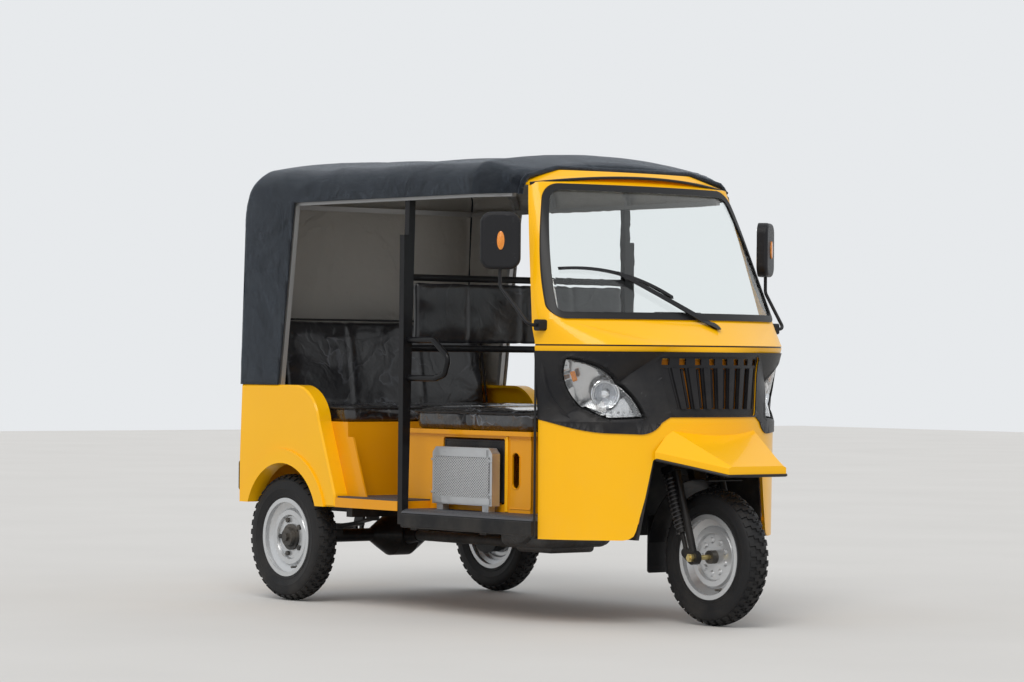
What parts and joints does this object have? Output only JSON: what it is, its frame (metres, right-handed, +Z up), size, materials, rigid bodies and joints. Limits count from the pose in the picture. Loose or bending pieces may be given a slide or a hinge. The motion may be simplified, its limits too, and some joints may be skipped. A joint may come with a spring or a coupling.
{
  "type": "auto rickshaw",
  "caption": "Three-wheeled passenger vehicle with an open-sided steel body, a canvas top, a steered front wheel and a bench behind the driver.",
  "frame": {"origin": "on the ground, in the middle of the overall length and width", "axes": "faces -Y, +X is the vehicle's left, +Z up"},
  "size_m": [1.5432, 2.6424, 1.8594],
  "materials": {
    "yellow_paint": "gloss",
    "black_paint": "satin",
    "black_plastic": "matte",
    "lamp_lens": "gloss",
    "red_lens": "gloss",
    "clear_glass": "clear",
    "seal_rubber": "matte",
    "black_vinyl": "satin",
    "canopy_vinyl": "satin",
    "aluminium": "matte",
    "engine_iron": "matte",
    "zinc_steel": "satin",
    "tyre_rubber": "matte",
    "silver_paint": "satin"
  },
  "bodies": {
    "chassis": {"chassis_frame": "black_paint", "side_steps": "black_paint", "rear_axle": "black_paint", "partition_frame": "black_paint", "leaf_springs": "black_paint", "drive_shaft": "black_paint", "muffler": "black_paint", "canopy_bows": "black_paint", "fascia_band": "black_plastic", "grille": "black_plastic", "dashboard": "black_plastic", "wheel_house": "black_plastic", "grab_handles": "black_plastic", "mirror_left": "black_plastic", "mirror_right": "black_plastic", "belt_strip": "black_plastic", "wiper": "black_plastic", "floor_pan": "yellow_paint", "passenger_floor": "yellow_paint", "nose_panel": "yellow_paint", "cab_frame": "yellow_paint", "front_visor": "yellow_paint", "driver_seat_box": "yellow_paint", "rear_quarter_left": "yellow_paint", "rear_quarter_right": "yellow_paint", "rear_panel": "yellow_paint", "bench_base": "yellow_paint", "headlamp_left": "lamp_lens", "headlamp_right": "lamp_lens", "tail_lamps": "red_lens", "windscreen_glass": "clear_glass", "windscreen_seal": "seal_rubber", "floor_mat": "seal_rubber", "partition_pad": "black_vinyl", "driver_cushion": "black_vinyl", "bench_cushion": "black_vinyl", "bench_backrest": "black_vinyl", "canopy": "canopy_vinyl", "radiator": "aluminium", "engine_block": "engine_iron"},
    "steering": {"front_fork": "black_paint", "handlebar": "black_paint", "front_mudguard": "black_paint", "mud_flap": "seal_rubber", "front_axle": "zinc_steel"},
    "front_wheel": {"front_tyre": "tyre_rubber", "front_rim": "silver_paint", "front_hub": "black_paint"},
    "rear_left_wheel": {"rear_left_tyre": "tyre_rubber", "rear_left_rim": "silver_paint", "rear_left_hub": "black_paint"},
    "rear_right_wheel": {"rear_right_tyre": "tyre_rubber", "rear_right_rim": "silver_paint", "rear_right_hub": "black_paint"}
  },
  "joints": [
    {"name": "steering", "type": "hinge", "parent": "chassis", "child": "steering", "pos_m": [0, -1.04075, 0.2675], "axis": [0, 0.309, 0.9511], "range_deg": [-40, 40]},
    {"name": "front_wheel_spin", "type": "hinge", "parent": "steering", "child": "front_wheel", "pos_m": [0, -1.05375, 0.2675], "axis": [1, 0, 0], "continuous": true},
    {"name": "rear_left_wheel_spin", "type": "hinge", "parent": "chassis", "child": "rear_left_wheel", "pos_m": [0.555, 0.99625, 0.2675], "axis": [1, 0, 0], "continuous": true},
    {"name": "rear_right_wheel_spin", "type": "hinge", "parent": "chassis", "child": "rear_right_wheel", "pos_m": [-0.555, 0.99625, 0.2675], "axis": [1, 0, 0], "continuous": true}
  ]
}
